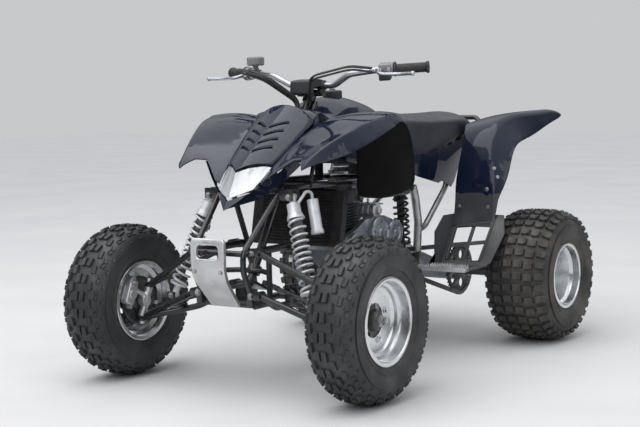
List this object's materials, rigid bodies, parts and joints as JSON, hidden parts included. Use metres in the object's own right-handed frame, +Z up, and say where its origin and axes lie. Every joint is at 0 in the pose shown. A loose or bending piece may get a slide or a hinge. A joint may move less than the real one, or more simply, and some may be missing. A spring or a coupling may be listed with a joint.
{
  "type": "quad bike",
  "caption": "Sport quad bike with a tube frame, open single-cylinder engine, long front A-arms, swept fenders, knobbly tyres and turning bars.",
  "frame": {"origin": "ground point midway along the bike, on its middle plane", "axes": "+Z up, -Y forward, +X the rider's left"},
  "size_m": [1.196, 1.827, 1.082],
  "materials": {
    "black_gloss": "gloss",
    "black_satin": "satin",
    "cast_aluminium": "cast",
    "chrome_bar": "polished",
    "frame_black": "gloss",
    "grip_rubber": "matte",
    "lamp_silver": "polished",
    "lens": "clear",
    "polished_aluminium": "polished",
    "red_lens": "clear",
    "silver_spring": "gloss",
    "steel": "brushed",
    "tyre_rubber": "matte",
    "vinyl": "vinyl"
  },
  "bodies": {
    "chassis": {"airbox": "black_satin", "carburettor": "cast_aluminium", "chain": "steel", "engine_case": "cast_aluminium", "engine_cylinder": "cast_aluminium", "exhaust_pipe": "steel", "footpegs": "cast_aluminium", "frame": "frame_black", "front_bumper": "cast_aluminium", "front_dampers": "silver_spring", "front_fenders": "black_gloss", "front_springs": "silver_spring", "fuel_cap": "black_satin", "grab_bar": "frame_black", "headlight": "lens", "heel_guards": "black_satin", "hood": "black_gloss", "lamp_bowl": "lamp_silver", "lower_arms": "frame_black", "muffler": "cast_aluminium", "nose_cowl": "black_gloss", "output_sprocket": "steel", "pivot_uprights": "steel", "radiator": "cast_aluminium", "rear_caliper": "cast_aluminium", "rear_damper": "silver_spring", "rear_fenders": "black_gloss", "rear_spring": "silver_spring", "seat": "vinyl", "side_covers": "black_gloss", "subframe": "steel", "swingarm": "cast_aluminium", "tail_light": "red_lens", "tank_cover": "black_gloss", "upper_arms": "frame_black"},
    "steering": {"steering_stem": "frame_black", "handlebar": "chrome_bar", "bar_clamps": "black_satin", "grips": "grip_rubber", "hand_levers": "steel", "bar_housings": "black_satin", "control_cables": "grip_rubber"},
    "rear_axle": {"rear_axle": "steel", "rear_tyres": "tyre_rubber", "rear_rims": "polished_aluminium", "rear_sprocket": "steel", "rear_brake_disc": "steel"},
    "knuckle_left": {"knuckle_left": "steel"},
    "tie_rod_left": {"tie_rod_left": "steel"},
    "front_wheel_left": {"front_tyre_left": "tyre_rubber", "front_rim_left": "polished_aluminium", "front_hub_left": "steel"},
    "knuckle_right": {"knuckle_right": "steel"},
    "tie_rod_right": {"tie_rod_right": "steel"},
    "front_wheel_right": {"front_tyre_right": "tyre_rubber", "front_rim_right": "polished_aluminium", "front_hub_right": "steel"}
  },
  "joints": [
    {"name": "steer", "type": "hinge", "parent": "chassis", "child": "steering", "pos_m": [0, -0.6, 0.345], "axis": [0, 0.5229, 0.8524], "range_deg": [-38, 38]},
    {"name": "kingpin_left", "type": "hinge", "parent": "chassis", "child": "knuckle_left", "pos_m": [0.424, -0.662, 0.2], "axis": [-0.1899, 0.1726, 0.9665], "range_deg": [-30.4, 30.4]},
    {"name": "tie_rod_swing_left", "type": "hinge", "parent": "knuckle_left", "child": "tie_rod_left", "pos_m": [0.417, -0.595, 0.23], "axis": [-0.1899, 0.1726, 0.9665], "range_deg": [-32.62, 32.62]},
    {"name": "front_wheel_spin_left", "type": "hinge", "parent": "knuckle_left", "child": "front_wheel_left", "pos_m": [0.49, -0.655, 0.26], "axis": [1, 0, 0], "continuous": true},
    {"name": "kingpin_right", "type": "hinge", "parent": "chassis", "child": "knuckle_right", "pos_m": [-0.424, -0.662, 0.2], "axis": [0.1899, 0.1726, 0.9665], "range_deg": [-30.4, 30.4]},
    {"name": "tie_rod_swing_right", "type": "hinge", "parent": "knuckle_right", "child": "tie_rod_right", "pos_m": [-0.417, -0.595, 0.23], "axis": [0.1899, 0.1726, 0.9665], "range_deg": [-32.62, 32.62]},
    {"name": "front_wheel_spin_right", "type": "hinge", "parent": "knuckle_right", "child": "front_wheel_right", "pos_m": [-0.49, -0.655, 0.26], "axis": [1, 0, 0], "continuous": true},
    {"name": "rear_axle_spin", "type": "hinge", "parent": "chassis", "child": "rear_axle", "pos_m": [0, 0.59, 0.248], "axis": [1, 0, 0], "continuous": true}
  ],
  "couplings": [
    {"joint": "kingpin_left", "follows": "steer", "ratio": 0.7738},
    {"joint": "tie_rod_swing_left", "follows": "steer", "ratio": -0.8322},
    {"joint": "kingpin_right", "follows": "steer", "ratio": 0.7738},
    {"joint": "tie_rod_swing_right", "follows": "steer", "ratio": -0.8322}
  ]
}
